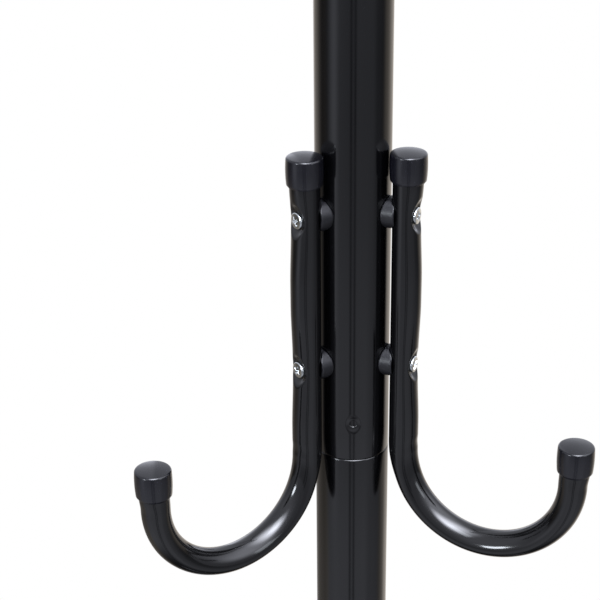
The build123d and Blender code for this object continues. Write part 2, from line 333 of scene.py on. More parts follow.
# Moulded black rubber of the floor pads: matt, dusty in its grain
def mouldedRubber():
    look = dict(deep="#131313", dusty="#232221", matt=0.72, ior=1.52, grainSize=0.8, grainDetail=4.0,
                grainHeight=0.00004, grainStrength=0.6)
    material, tree = newMaterial("mouldedRubberBlack")
    place = addNode(tree, "ShaderNodeTexCoord").outputs["Object"]
    grain = addNode(tree, "ShaderNodeTexNoise",
                    {"Scale": perMillimetre(look["grainSize"]), "Detail": look["grainDetail"]},
                    {"Vector": place})
    tone = addNode(tree, "ShaderNodeMix", {"data_type": "RGBA", "A": linearColour(look["deep"]),
                                           "B": linearColour(look["dusty"])},
                   {"Factor": grain.outputs["Fac"]})
    bump = addNode(tree, "ShaderNodeBump",
                   {"Strength": look["grainStrength"], "Distance": look["grainHeight"]},
                   {"Height": grain.outputs["Fac"]})
    shader = addNode(tree, "ShaderNodeBsdfPrincipled", {"Roughness": look["matt"], "IOR": look["ior"]},
                     {"Base Color": tone.outputs["Result"], "Normal": bump.outputs["Normal"]})
    addNode(tree, "ShaderNodeOutputMaterial", None, {"Surface": shader.outputs["BSDF"]})
    return material


# Cast concrete of the weight: pale grey, blotched by its sand, dull
def castConcrete():
    look = dict(pale="#a9a6a0", dark="#7f7c77", matt=0.9, blotchSize=18.0, blotchDetail=6.0, sandSize=1.5,
                sandDetail=2.0, sandHeight=0.0003, sandStrength=0.7)
    material, tree = newMaterial("castConcreteGrey")
    place = addNode(tree, "ShaderNodeTexCoord").outputs["Object"]
    blotch = addNode(tree, "ShaderNodeTexNoise",
                     {"Scale": perMillimetre(look["blotchSize"]), "Detail": look["blotchDetail"]},
                     {"Vector": place})
    sand = addNode(tree, "ShaderNodeTexNoise",
                   {"Scale": perMillimetre(look["sandSize"]), "Detail": look["sandDetail"]},
                   {"Vector": place})
    tone = addNode(tree, "ShaderNodeMix", {"data_type": "RGBA", "A": linearColour(look["pale"]),
                                           "B": linearColour(look["dark"])},
                   {"Factor": blotch.outputs["Fac"]})
    bump = addNode(tree, "ShaderNodeBump", {"Strength": look["sandStrength"], "Distance": look["sandHeight"]},
                   {"Height": sand.outputs["Fac"]})
    shader = addNode(tree, "ShaderNodeBsdfPrincipled", {"Roughness": look["matt"]},
                     {"Base Color": tone.outputs["Result"], "Normal": bump.outputs["Normal"]})
    addNode(tree, "ShaderNodeOutputMaterial", None, {"Surface": shader.outputs["BSDF"]})
    return material


enamel = stovedEnamel()
vinyl = dippedVinyl()
polypropylene = mouldedPolypropylene()
zinc = brightZinc()
steel = drawnSteel()
rubber = mouldedRubber()
concrete = castConcrete()
print("materials made")

# places read from the frame
poleRadius = (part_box("pole_lower")[1].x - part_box("pole_lower")[0].x) / 2


def nodeCentre(node):
    low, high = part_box(node)
    return (low + high) / 2


hookAxis = nodeCentre("stem_cap_low_rear").y
tipAxis = nodeCentre("tip_cap_low_rear").y


# pole lengths: round-edged tube with the punched crimp above a seam
poleTube = dict(
    sides=384, smoothAngle=40.0, wall=0.0012, edgeRadius=0.0009, edgeSteps=6, longRows=8,
    crimpRise=0.0223, crimpTurn=-5.0, crimpZone=0.0075, crimpRows=44, crimpEase=0.0003,
    dishRadius=0.0056, dishDepth=0.0009, pitRadius=0.0022, pitFloorRadius=0.0012, pitDepth=0.0016,
)


def poleOutline(bottom, top, crimpHeight):
    edge = poleTube["edgeRadius"]
    inner = poleRadius - poleTube["wall"]
    corner = poleRadius - edge
    outline = [(inner, bottom)]
    outline += arcPoints((corner, bottom + edge), edge, -90, 0, poleTube["edgeSteps"])
    heights = []
    if crimpHeight:
        zone = poleTube["crimpZone"]
        heights.append(crimpHeight - zone)
        heights += steps(crimpHeight - zone, crimpHeight + zone, poleTube["crimpRows"])
    start = heights[-1] if heights else bottom + edge
    heights += steps(start, top - edge, poleTube["longRows"])[:-1]
    outline += [(poleRadius, height) for height in heights]
    outline += arcPoints((corner, top - edge), edge, 0, 90, poleTube["edgeSteps"])
    outline += [(inner, top), (inner, bottom)]
    return outline


# presses the dish and its pit into the outer wall, along the crimp's own axis
def pressCrimp(piece, crimpHeight):
    turn = math.radians(poleTube["crimpTurn"] - 90)
    out = Vector((math.cos(turn), math.sin(turn), 0))
    side = Vector((-out.y, out.x, 0))
    dish, pit = poleTube["dishRadius"], poleTube["pitRadius"]
    for vertex in piece.data.vertices:
        reach = vertex.co.dot(out)
        across = vertex.co.dot(side)
        away = math.hypot(across, vertex.co.z - crimpHeight)
        if reach < 0 or away > dish or math.hypot(reach, across) < poleRadius - poleTube["edgeRadius"]:
            continue
        depth = poleTube["dishDepth"] * smoothStep((dish - away) / (dish - pit))
        depth += poleTube["pitDepth"] * smoothStep((pit - away) / (pit - poleTube["pitFloorRadius"]))
        pressed = smoothMin(reach, poleRadius - depth, poleTube["crimpEase"])
        vertex.co += out * (pressed - reach)


for node, body, crimped in (("pole_lower", "stand", False), ("pole_middle", "middle_length", True),
                            ("pole_upper", "upper_length", True)):
    low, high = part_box(node)
    crimpHeight = low.z + poleTube["crimpRise"] if crimped else None
    pole = turnPiece(node.replace("pole_", "poleTube_"), poleTube["sides"],
                     poleOutline(low.z, high.z, crimpHeight))
    closePiece(pole, poleTube["smoothAngle"])
    if crimped:
        pressCrimp(pole, crimpHeight)
    dress(pole, enamel, body, "black_enamel", node)
print("pole lengths made")

# couplers: plain drawn tube inside the seams
couplerTube = dict(sides=128, smoothAngle=30.0, wall=0.0015, chamfer=0.0004)
for node, body in (("coupler_lower", "middle_length"), ("coupler_upper", "upper_length")):
    low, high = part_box(node)
    outer = (high.x - low.x) / 2
    inner = outer - couplerTube["wall"]
    cut = couplerTube["chamfer"]
    sleeve = turnPiece(node.replace("coupler_", "couplerTube_"), couplerTube["sides"],
                       [(inner, low.z), (outer - cut, low.z), (outer, low.z + cut), (outer, high.z - cut),
                        (outer - cut, high.z), (inner, high.z), (inner, low.z)])
    closePiece(sleeve, couplerTube["smoothAngle"])
    dress(sleeve, steel, body, "bare_steel", node)
print("couplers made")

# hook: a J of tube, flattened in its bend, dented for two screws; heights from the seam's level
hookTube = dict(
    sides=96, smoothAngle=50.0, radius=0.008, stemTop=0.173, bendStart=0.003, bendSteps=180, tipLength=0.0225,
    flattening=0.0022, swell=0.0005, innerPower=1.8, spread=0.0005, pressEase=0.005, pressAngle=20.0,
    relaxAngle=100.0, relaxEase=0.008, relaxRows=10, endShare=0.4,
    dieDepth=0.0003, dieReach=0.0045, dieRise=0.0058, dieZone=0.012, dieRows=36,
    screwHeights=(0.141, 0.056), seatDepth=0.0041, seatRadius=0.0046, dentWidth=0.0092, dentLength=0.0128,
    dentEase=0.0020, dentZone=0.0150, dentRows=72, sagDepth=0.0012, sagReach=0.036, sagTop=0.159, sagRows=20,
)
bendRadius = (tipAxis - hookAxis) / 2


# how flat the tube is at a length past the bend's start: 0 is round, 1 is as flat as the bend
def flatShare(past):
    bendEnd = math.pi * bendRadius
    pressEnd = math.radians(hookTube["pressAngle"]) * bendRadius
    relaxStart = math.radians(hookTube["relaxAngle"]) * bendRadius
    if past > bendEnd:
        return hookTube["endShare"] * (1 - smoothStep((past - bendEnd) / hookTube["relaxEase"]))
    pressed = smoothStep((past + hookTube["pressEase"]) / (pressEnd + hookTube["pressEase"]))
    return pressed - (1 - hookTube["endShare"]) * smoothStep((past - relaxStart) / (bendEnd - relaxStart))


# flattens the outer wall of the bend, gathers the inner one, spreads it sideways and leaves the die's mark
# a little above the bend's start
def pressBend(piece):
    middle = hookAxis + bendRadius
    radius = hookTube["radius"]
    for vertex in piece.data.vertices:
        back, drop = middle - vertex.co.x, hookTube["bendStart"] - vertex.co.z
        turned = math.atan2(max(drop, 0.0), back)
        past = turned * bendRadius + min(drop, 0.0) * (1 if back > 0 else -1)
        outwards = (math.hypot(back, drop) if drop > 0 else abs(back)) - bendRadius
        share = flatShare(past)
        shift = -hookTube["flattening"] * share * max(outwards, 0.0) / radius
        if outwards < 0:
            power = 2 / (2 + (hookTube["innerPower"] - 2) * share)
            inwards = min(-outwards / radius, 1.0)
            shift = -(radius + hookTube["swell"] * share) * inwards ** power - outwards
            aside = min(abs(vertex.co.y) / radius, 1.0)
            vertex.co.y = math.copysign(radius * aside ** power, vertex.co.y)
        mark = max(1 - ((past + hookTube["dieRise"]) / hookTube["dieReach"]) ** 2, 0.0) ** 2
        shift += hookTube["dieDepth"] * mark * max(-outwards / radius, 0.0) ** 2
        vertex.co.x -= shift * math.cos(turned)
        vertex.co.z -= shift * math.sin(turned)
        vertex.co.y *= 1 + hookTube["spread"] * share / radius


# presses the screws into the outer side of the stem: a long shallow sag that ends at the cap's foot, and in
# it a flat seat with an S-shaped slope round it
def pressDents(piece):
    radius, seatRadius = hookTube["radius"], hookTube["seatRadius"]
    seat = hookAxis + radius - hookTube["seatDepth"]
    rise = hookTube["seatDepth"] + hookTube["dentEase"]
    for vertex in piece.data.vertices:
        if not hookAxis <= vertex.co.x <= hookAxis + radius + closeBy:
            continue
        for height in hookTube["screwHeights"]:
            across, along = vertex.co.y, vertex.co.z - height
            reach = hookTube["sagReach"]
            if along > 0:
                reach = min(reach, hookTube["sagTop"] - height)
            sag = hookTube["sagDepth"] * max(1 - (along / reach) ** 2, 0.0) ** 2
            vertex.co.x -= sag * (vertex.co.x - hookAxis) / radius
            away = math.hypot(across, along)
            dent = seat
            if away > seatRadius:
                rim = away / math.hypot(across / hookTube["dentWidth"], along / hookTube["dentLength"])
                dent += rise * smoothStep((away - seatRadius) / (rim - seatRadius))
            vertex.co.x = smoothMin(vertex.co.x, dent, hookTube["dentEase"])


# stem from its top down, the bend as a spin, then the tip; rows are dense where the tube is pressed
def modelHook():
    start = hookTube["bendStart"]
    halfDie = hookTube["dieZone"] / 2
    zones = [(height, hookTube["dentZone"], hookTube["dentRows"]) for height in hookTube["screwHeights"]]
    zones.append((start + halfDie, halfDie, hookTube["dieRows"]))
    rows = [hookTube["stemTop"]]
    for height, half, count in zones:
        rows += steps(rows[-1], height + half, hookTube["sagRows"])
        rows += steps(height + half, height - half, count)
    piece = startRing("hookMaster", hookTube["sides"], hookTube["radius"], (hookAxis, 0, rows[0]))
    for upper, lower in zip(rows, rows[1:]):
        growRing(lower - upper)
    bpy.ops.mesh.spin(steps=hookTube["bendSteps"], angle=math.pi, axis=(0, 1, 0),
                      center=(hookAxis + bendRadius, 0, start))
    for row in range(hookTube["relaxRows"]):
        growRing(hookTube["relaxEase"] / hookTube["relaxRows"])
    growRing(hookTube["tipLength"] - hookTube["relaxEase"])
    closePiece(piece, hookTube["smoothAngle"])
    pressDents(piece)
    pressBend(piece)
    return piece


# push-on cap, modelled from the tube's end at height 0: barrel-shaped wall, tapered lip, slightly domed top
pushCap = dict(
    sides=96, smoothAngle=40.0, wall=0.0018, clearance=0.00005, end=0.002, length=0.016, bellyHeight=0.010,
    topInset=0.00035, footInset=0.0004, wallRows=16, lipWall=0.0008, lipHeight=0.0010, lipRound=1 / 3,
    lipSteps=4, topRadius=0.0012, topArc=78.0, topSteps=10, rimDrop=0.0005, dome=0.0009, domeShare=0.96,
    domeRows=10,
)


# radius of the barrel at a height: the arc through foot, belly and rim
def barrelRadius(height, foot, belly, rim):
    total = 0.0
    for own, others in ((foot, (belly, rim)), (belly, (foot, rim)), (rim, (foot, belly))):
        weight = own[0]
        for other in others:
            weight *= (height - other[1]) / (own[1] - other[1])
        total += weight
    return total


def modelCap():
    bore = hookTube["radius"] + pushCap["clearance"]
    outer = hookTube["radius"] + pushCap["wall"]
    bottom = pushCap["end"] - pushCap["length"]
    edge = pushCap["topRadius"]
    barrel = ((outer - pushCap["footInset"], bottom + pushCap["lipHeight"]),
              (outer, bottom + pushCap["bellyHeight"]), (outer - pushCap["topInset"], pushCap["end"]))
    shoulderHeight = pushCap["end"] - pushCap["rimDrop"] - edge
    lip = hookTube["radius"] + pushCap["lipWall"]
    lipEdge = pushCap["lipWall"] * pushCap["lipRound"]
    lipCentre = (lip - lipEdge, bottom + lipEdge)
    outline = [(bore, bottom)] + arcPoints(lipCentre, lipEdge, -90, 0, pushCap["lipSteps"])
    for height in [barrel[0][1]] + steps(barrel[0][1], shoulderHeight, pushCap["wallRows"]):
        outline.append((barrelRadius(height, *barrel), height))
    corner = (outline[-1][0] - edge, shoulderHeight)
    outline += arcPoints(corner, edge, 0, pushCap["topArc"], pushCap["topSteps"])[1:]
    rimRadius, rimHeight = outline[-1]
    for way in steps(0.0, pushCap["domeShare"], pushCap["domeRows"]):
        outline.append((rimRadius * (1 - way), rimHeight + pushCap["dome"] * (1 - (1 - way) ** 2)))
    piece = turnPiece("capMaster", pushCap["sides"], outline)
    bpy.ops.mesh.merge(type="CENTER")
    bpy.ops.mesh.select_all(action="DESELECT")
    bpy.ops.object.mode_set(mode="OBJECT")
    for vertex in piece.data.vertices:
        vertex.select = abs(vertex.co.z - bottom) < closeBy and vertex.co.xy.length < bore + closeBy
    bpy.ops.object.mode_set(mode="EDIT")
    growRing(-bottom)
    closePiece(piece, pushCap["smoothAngle"])
    return piece


# saddle spacer: a short plug round the screw's axis, hollowed to the pole and to the hook tube
saddle = dict(sides=96, smoothAngle=40.0, radius=0.0085, bore=0.0022, earReach=0.0035, earEase=0.0012,
              clearance=0.00005, faceRings=6, edgeRadius=0.0008, edgeSteps=4)


# a disc of unit height with its rims marked, then fitted between the pole and the tube, and its rims bevelled
def modelSpacer():
    radius, bore = saddle["radius"], saddle["bore"]
    outline = [(bore, 0.0)] + [(r, 0.0) for r in steps(bore, radius, saddle["faceRings"])]
    outline += [(r, 1.0) for r in [radius] + steps(radius, bore, saddle["faceRings"])]
    outline.append((bore, 0.0))
    piece = turnPiece("spacerMaster", saddle["sides"], outline)
    closePiece(piece, saddle["smoothAngle"])
    mesh = piece.data
    for vertex in mesh.vertices:
        vertex.select = False
    for edge in mesh.edges:
        first, second = (mesh.vertices[i].co for i in edge.vertices)
        onRim = min(first.xy.length, second.xy.length) > radius - closeBy
        edge.select = onRim and abs(first.z - second.z) < closeBy
    farEnd = hookAxis - hookTube["radius"] + saddle["earReach"]
    for vertex in mesh.vertices:
        way, across, up = vertex.co.z, vertex.co.y, vertex.co.x
        near = math.sqrt((poleRadius + saddle["clearance"]) ** 2 - across ** 2)
        room = max((hookTube["radius"] + saddle["clearance"]) ** 2 - across ** 2, 0.0)
        far = smoothMin(hookAxis - math.sqrt(room), farEnd, saddle["earEase"])
        vertex.co = (near + (far - near) * way, across, up)
    pickPiece(piece)
    bpy.context.tool_settings.mesh_select_mode = (False, True, False)
    bpy.ops.object.mode_set(mode="EDIT")
    bpy.ops.mesh.bevel(offset=saddle["edgeRadius"], segments=saddle["edgeSteps"], affect="EDGES")
    bpy.ops.mesh.select_mode(type="VERT")
    bpy.ops.mesh.select_all(action="SELECT")
    bpy.ops.mesh.normals_make_consistent(inside=False)
    shadePiece(piece, saddle["smoothAngle"])
    return piece


# pan-head screw with a cross recess, head towards +X
panScrew = dict(
    sides=96, smoothAngle=30.0, headRadius=0.0045, headHeight=0.0023, crown=0.0003, crownRows=8,
    edgeRadius=0.0008, edgeArc=82.0, edgeSteps=8, shankRadius=0.002, length=0.027,
    recessSpan=0.0056, recessWidth=0.0017, floorSpan=0.0026, floorWidth=0.0005, recessDepth=0.0016,
    bevel=0.00010, bevelSteps=2, bevelAngle=35.0, mergeBy=0.00002, firstRoll=25.0, nextRoll=37.0,
)


def modelScrew():
    head, top, edge = panScrew["headRadius"], panScrew["headHeight"], panScrew["edgeRadius"]
    flat = head - edge
    outline = []
    for way in steps(0.0, 1.0, panScrew["crownRows"]):
        outline.append((flat * way, top - panScrew["crown"] * way ** 2))
    shoulder = (flat, top - panScrew["crown"] - edge)
    outline += arcPoints(shoulder, edge, panScrew["edgeArc"], 0, panScrew["edgeSteps"])
    outline += [(head, 0.0), (panScrew["shankRadius"], 0.0), (panScrew["shankRadius"], -panScrew["length"])]
    piece = turnPiece("screwMaster", panScrew["sides"], outline)
    closePiece(piece, panScrew["smoothAngle"])
    for turn in (0, math.pi / 2):
        deselectAll()
        bpy.ops.mesh.primitive_cube_add(size=1, location=(0, 0, top), rotation=(0, 0, turn))
        arm = bpy.context.object
        span = 2 * panScrew["recessSpan"] - panScrew["floorSpan"]
        width = 2 * panScrew["recessWidth"] - panScrew["floorWidth"]
        arm.scale = (span, width, 2 * panScrew["recessDepth"])
        bpy.ops.object.transform_apply(location=False, rotation=False, scale=True)
        for vertex in arm.data.vertices:
            if vertex.co.z < 0:
                vertex.co.x *= panScrew["floorSpan"] / span
                vertex.co.y *= panScrew["floorWidth"] / width
        cut = piece.modifiers.new("recess", "BOOLEAN")
        cut.operation = "DIFFERENCE"
        cut.object = arm
        cut.solver = "EXACT"
        applyModifiers(piece)
        dropPiece(arm)
    soften = piece.modifiers.new("edges", "BEVEL")
    soften.width = panScrew["bevel"]
    soften.segments = panScrew["bevelSteps"]
    soften.limit_method = "ANGLE"
    soften.angle_limit = math.radians(panScrew["bevelAngle"])
    applyModifiers(piece)
    bpy.ops.object.mode_set(mode="EDIT")
    bpy.ops.mesh.select_all(action="SELECT")
    bpy.ops.mesh.remove_doubles(threshold=panScrew["mergeBy"])
    bpy.ops.mesh.dissolve_degenerate(threshold=panScrew["mergeBy"])
    pickPiece(piece)
    piece.rotation_euler = (0, math.pi / 2, 0)
    bpy.ops.object.transform_apply(location=True, rotation=True, scale=True)
    shadePiece(piece, panScrew["smoothAngle"])
    return piece


hookMaster = modelHook()
print("hook modelled")
capMaster = modelCap()
spacerMaster = modelSpacer()
screwMaster = modelScrew()
print("cap, spacer and screw modelled")

screwSeat = -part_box("hook_screws_top")[0].y - panScrew["headHeight"]
for tier, sides in tiers.items():
    screws = []
    for side in sides:
        centre = nodeCentre(f"stem_cap_{tier}_{side}")
        turn = math.atan2(centre.y, centre.x)
        out = Vector((math.cos(turn), math.sin(turn), 0))
        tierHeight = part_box(f"hook_{tier}_{side}")[1].z - hookTube["stemTop"]
        hook = placeCopy(hookMaster, f"hookTube_{tier}_{side}", turn, (0, 0, tierHeight))
        dress(hook, enamel, "upper_length", "black_enamel", f"hook_{tier}_{side}")
        for end in ("stem", "tip"):
            node = f"{end}_cap_{tier}_{side}"
            place = nodeCentre(node)
            place.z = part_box(node)[1].z - pushCap["end"]
            cap = placeCopy(capMaster, f"{end}Cap_{tier}_{side}", turn, place)
            dress(cap, vinyl, "upper_length", "black_vinyl", node)
        for level in ("high", "low"):
            node = f"spacer_{level}_{tier}_{side}"
            height = nodeCentre(node).z
            spacer = placeCopy(spacerMaster, f"saddleSpacer_{level}_{tier}_{side}", turn, (0, 0, height))
            dress(spacer, polypropylene, "upper_length", "black_plastic", node)
            seat = out * screwSeat + Vector((0, 0, height))
            roll = math.radians(panScrew["firstRoll"] + panScrew["nextRoll"] * len(screws))
            screws.append(placeCopy(screwMaster, f"screw_{level}_{tier}_{side}", turn, seat, roll))
    group = joinPieces(screws, f"hookScrews_{tier}")
    dress(group, zinc, "upper_length", "zinc_steel", f"hook_screws_{tier}")
for master in (hookMaster, capMaster, spacerMaster, screwMaster):
    dropPiece(master)
print("tiers placed")

# domed plug in the top of the pole
topPlug = dict(sides=192, smoothAngle=40.0, wall=0.002, clearance=0.00005, rimRadius=0.0006, rimSteps=5,
               dome=0.009, domeStart=0.985, domeShare=0.98, domeRows=24)
low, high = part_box("pole_top_plug")
poleTop = high.z - topPlug["dome"]
skirt = poleRadius - poleTube["wall"] - topPlug["clearance"]
inner = skirt - topPlug["wall"]
domeRadius = (poleRadius ** 2 + topPlug["dome"] ** 2) / (2 * topPlug["dome"])
outline = [(inner, poleTop), (inner, low.z), (skirt, low.z), (skirt, poleTop)]
outline.append((poleRadius - topPlug["rimRadius"], poleTop))
rimAngle = math.degrees(math.asin(poleRadius / domeRadius))
rim = topPlug["rimRadius"] / 2
outline += arcPoints((poleRadius - rim, poleTop + rim), rim, -90, 90 - rimAngle, topPlug["rimSteps"])
for way in steps(0.0, topPlug["domeShare"], topPlug["domeRows"]):
    angle = math.radians(rimAngle * (1 - way) * topPlug["domeStart"])
    outline.append((domeRadius * math.sin(angle), high.z - domeRadius * (1 - math.cos(angle))))
plug = turnPiece("topPlugDome", topPlug["sides"], outline)
closePiece(plug, topPlug["smoothAngle"])
dress(plug, polypropylene, "upper_length", "black_plastic", "pole_top_plug")
print("top plug made")

# spun base cover: upright rim, rounded corner, gentle slope up to the seat of the pole
baseCover = dict(sides=256, smoothAngle=35.0, rimHeight=0.020, cornerRadius=0.009, cornerSteps=14,
                 seatRadius=0.040, slopeRows=6, wall=0.0012, lipWidth=0.006, lipThickness=0.001,
                 boltHole=0.0055, hemRadius=0.0005, hemSteps=4)


# upright rim, corner arc and slope of the cover's outside, or of its inside when inset by the wall
def coverLine(inset, radius, top):
    rim = baseCover["rimHeight"] - inset
    corner = baseCover["cornerRadius"] - inset
    slope = math.degrees(math.atan2(top - rim, radius - baseCover["seatRadius"]))
    turnEnd = 90 - slope
    centre = (radius - corner, rim - corner * math.tan(math.radians(turnEnd / 2)))
    line = arcPoints(centre, corner, 0, turnEnd, baseCover["cornerSteps"])
    startRadius, startHeight = line[-1]
    inwards, upwards = baseCover["seatRadius"] - startRadius, top - startHeight
    for way in steps(0.0, 1.0, baseCover["slopeRows"]):
        line.append((startRadius + inwards * way, startHeight + upwards * way))
    return line


low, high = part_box("base_cover")
outer, wall, hem, hole = high.x, baseCover["wall"], baseCover["hemRadius"], baseCover["boltHole"]
inner, ceiling = outer - wall, high.z - wall
lipInner = inner - baseCover["lipWidth"]
lipTop = low.z + baseCover["lipThickness"]
outline = [(lipInner, low.z)] + arcPoints((outer - hem, low.z + hem), hem, -90, 0, baseCover["hemSteps"])
outline += coverLine(0.0, outer, high.z)
outline += [(poleRadius, high.z), (hole, high.z), (hole, ceiling)]
outline += reversed(coverLine(wall, inner, ceiling))
outline += [(inner, lipTop), (lipInner, lipTop), (lipInner, low.z)]
cover = turnPiece("spunBaseCover", baseCover["sides"], outline)
closePiece(cover, baseCover["smoothAngle"])
dress(cover, enamel, "stand", "black_enamel", "base_cover")
print("base cover made")

# solids that keep their own shape
carried = {
    "base_plate": enamel, "base_pads": rubber, "base_weight": concrete, "base_bolt": zinc,
    "base_washer": zinc, "pole_foot_plug": zinc, "rivet_nuts_low": zinc, "rivet_nuts_top": zinc,
}
for node, material in carried.items():
    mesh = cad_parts[node].data
    mesh.materials.clear()
    mesh.materials.append(material)
print("carried-over solids finished")

# studio: a pale floor and walls, which the gloss shows at levels that go by the angle from the front, in
# degrees, positive to the right; the floor's levels are a painted reflection, with painted shade near the
# base and two painted dark stripes; floor distances are from the pole, and wall heights are parts of a
# direction
studio = dict(
    floorRadius=9.0, floorSides=128, floorTone="#dedfe2", floorGrain="#e4e5e7", grainSize=40.0,
    grainDetail=3.0, shadeStart=0.3, shadeEnd=1.4, nearGlow=0.5, farGlow=1.0, ambient=0.30,
    frontTint="#f0f3ff", warmTint="#fff4e7",
    # painted shade: the base values darken the floor near the base in reflections
    baseFloor=0.25, baseFade=1.0, baseShadeLevel=0.08, nearFloor=1.5, farFloor=4.0, wallFoot=0.0, wallTop=0.55,
    # painted reflection: levels at which the floor glows in reflections, near the pole and far off
    nearReflectionLevels={-180: 0.50, -138: 0.25, -110: 0.30, -85: 0.50, -57: 0.66, -12: 0.68, 30: 0.66, 57: 0.44,
                92: 0.28, 110: 0.45, 128: 0.95, 145: 0.90, 180: 0.50},
    farReflectionLevels={-180: 1.20, -140: 0.60, -108: 0.10, -92: 0.14, -64: 0.85, -45: 0.40, -15: 0.36, 5: 0.42,
               33: 0.40, 50: 0.38, 70: 0.20, 86: 0.15, 105: 0.50, 135: 1.00, 180: 1.20},
    lowWallLevels={-180: 2.60, -150: 0.90, -105: 0.45, -60: 0.65, 0: 0.50, 60: 0.48, 85: 0.50, 115: 0.95,
                   145: 1.90, 180: 2.60},
    highWallLevels={-180: 1.45, -150: 1.00, -105: 0.95, -60: 1.10, 0: 1.15, 60: 1.12, 85: 1.10, 115: 1.15,
                    145: 1.25, 180: 1.45},
    # painted reflection colour: share of the warm tint in reflections, by angle
    warmShare={-180: 0.3, -155: 0.9, -100: 1.0, -80: 0.0, 80: 0.0, 100: 1.0, 155: 0.9, 180: 0.3},
    # painted reflection: two dark stripes in front, seen only in reflections
    paintedDarkStripeLevels={-18: 1.0, -13: 0.25, -8: 0.95, -6: 0.95, -1: 0.25, 4: 1.0},
)
# soft glows over the camera and at the right: each fades in with the sideways, upward and forward part of a
# direction, between the two values given
glows = {
    "bounceOverCamera": dict(turn=4.0, level=19.0,
                             sideways=(0.48, 0.0), upwards=(0.40, 0.70), forwards=(-0.20, 0.80)),
    "paleRightSide": dict(turn=55.0, level=2.2,
                          sideways=(0.80, 0.10), upwards=(0.10, 0.55), forwards=(-0.10, 0.60)),
}
deselectAll()
bpy.ops.mesh.primitive_circle_add(vertices=studio["floorSides"], radius=studio["floorRadius"],
                                  fill_type="NGON")
floor = bpy.context.object
floor.name = "studioFloor"


# ramp of levels that runs once round, from behind over the left, the front and the right
def roundRamp(tree, axes, levels):
    front = addNode(tree, "ShaderNodeMath", {"operation": "MULTIPLY", 1: -1.0}, {0: axes["Y"]})
    angle = addNode(tree, "ShaderNodeMath", {"operation": "ARCTAN2"},
                    {0: axes["X"], 1: front.outputs["Value"]})
    share = addNode(tree, "ShaderNodeMapRange", {"From Min": -math.pi, "From Max": math.pi},
                    {"Value": angle.outputs["Value"]})
    stops = [((degrees + 180) / 360, level) for degrees, level in levels.items()]
    ramp = addNode(tree, "ShaderNodeValToRGB", {"stops": stops}, {"Fac": share.outputs["Result"]})
    return ramp.outputs["Color"]


